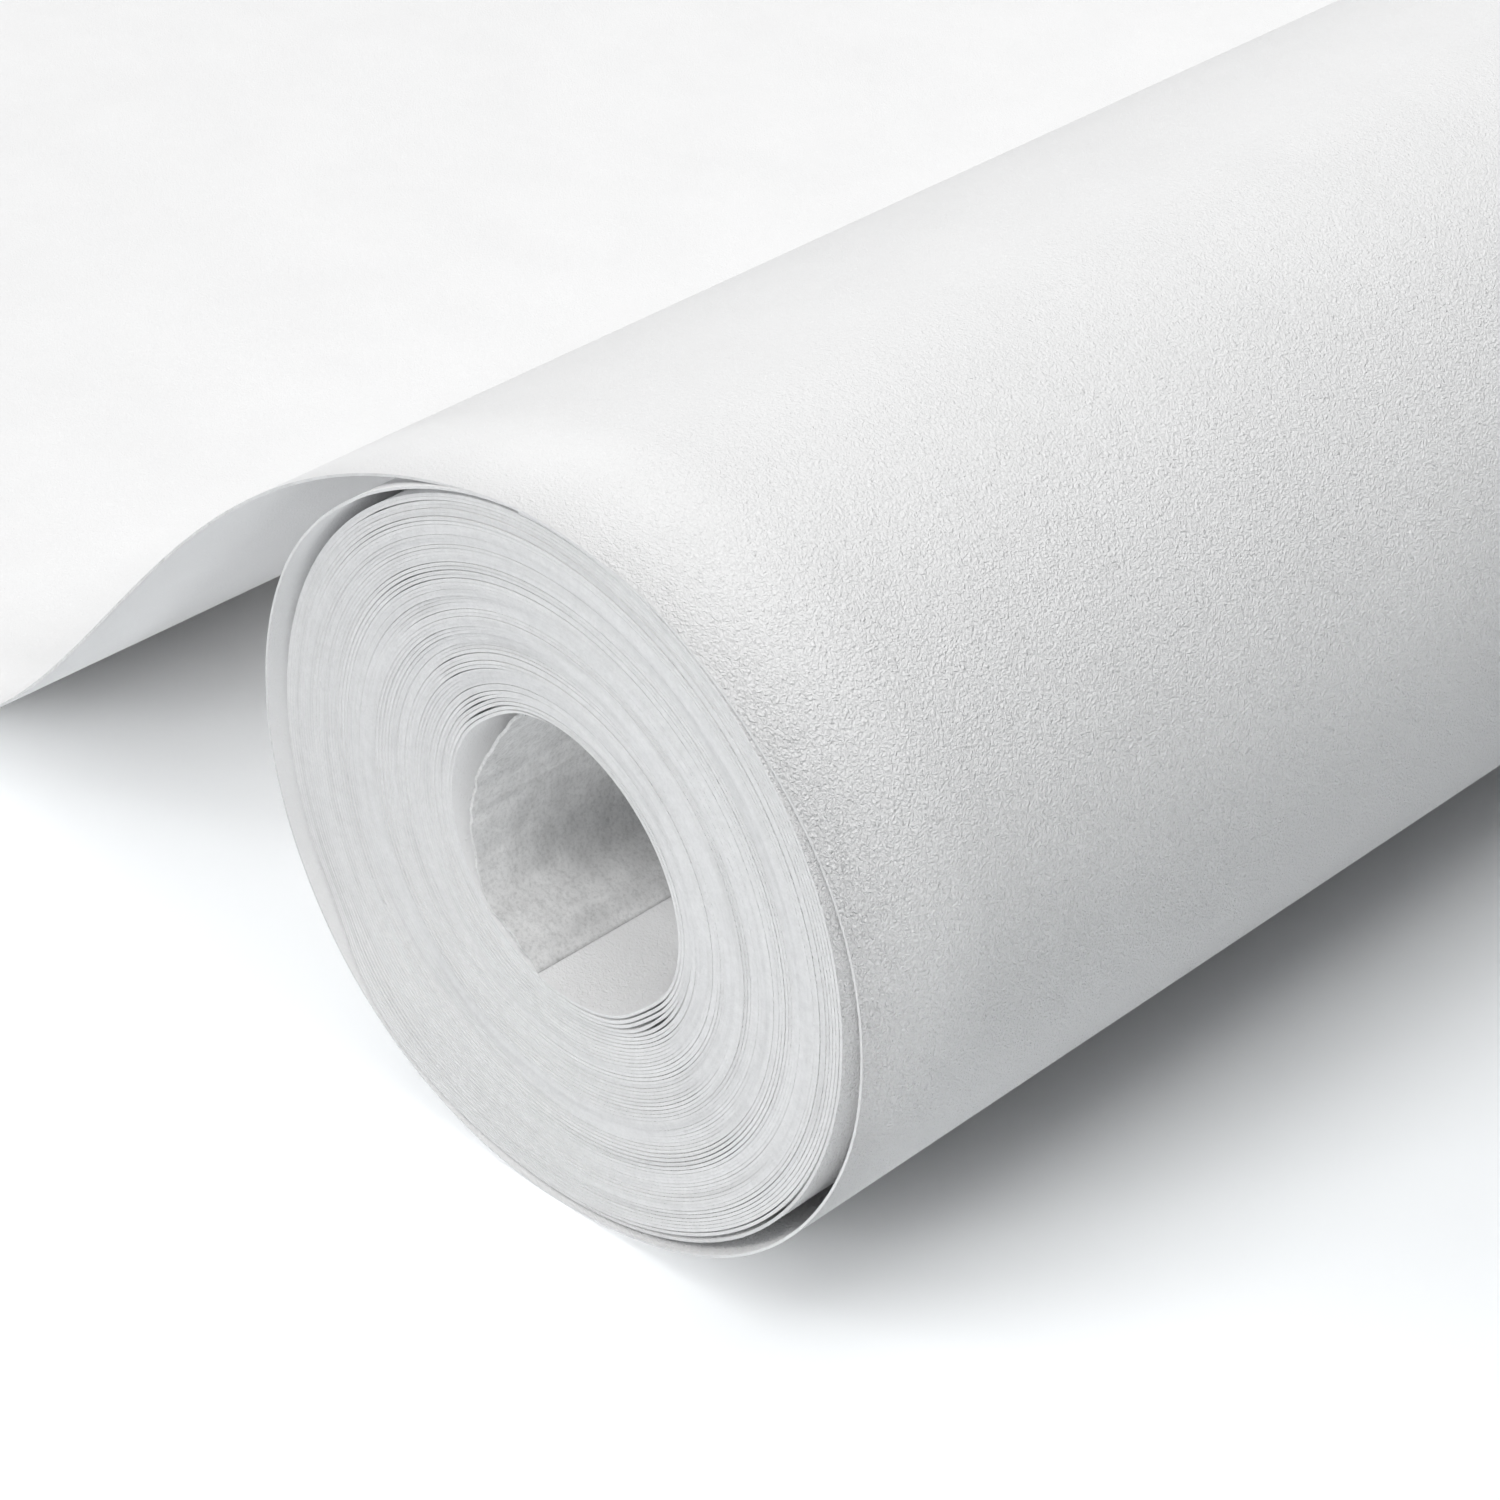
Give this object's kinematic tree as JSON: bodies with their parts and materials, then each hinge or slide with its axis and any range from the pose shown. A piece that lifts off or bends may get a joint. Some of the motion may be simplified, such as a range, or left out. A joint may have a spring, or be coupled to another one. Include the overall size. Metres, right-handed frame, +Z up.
{
  "type": "backdrop paper roll",
  "caption": "Coreless roll of white backdrop paper lying on its side, with a loose outer turn and its free end paid out flat over the floor.",
  "frame": {"origin": "on the floor, under the middle of the roll's length, in the middle of the strip that the roll rests on", "axes": "+Z up; Y along the roll, with the end that the picture shows at -Y; the sheet is paid out towards -X"},
  "size_m": [0.3552, 0.6645, 0.0693],
  "materials": {
    "white_paper": "matte uncoated white paper with a fine felt texture",
    "core_ply": "matte mottled grey recycled ply"
  },
  "bodies": {
    "loose_web": {"outer_turn": "white_paper", "departing_sheet": "white_paper"},
    "wound_pack": {"core_ply": "core_ply", "wound_turns_1": "white_paper", "wound_turns_2": "white_paper", "wound_turns_3": "white_paper", "wound_turns_4": "white_paper", "wound_turns_5": "white_paper", "wound_turns_6": "white_paper"},
    "tail": {"flat_tail": "white_paper"}
  },
  "joints": [
    {"name": "pack_spin", "type": "hinge", "parent": "loose_web", "child": "wound_pack", "pos_m": [0, 0, 0.03455], "axis": [0, -1, 0], "range_deg": [0, 360]},
    {"name": "tail_slide", "type": "slide", "parent": "loose_web", "child": "tail", "axis": [-1, 0, 0], "range_m": [0, 0.218]}
  ],
  "couplings": [
    {"joint": "tail_slide", "follows": "pack_spin", "m_per_rad": 0.034675}
  ]
}
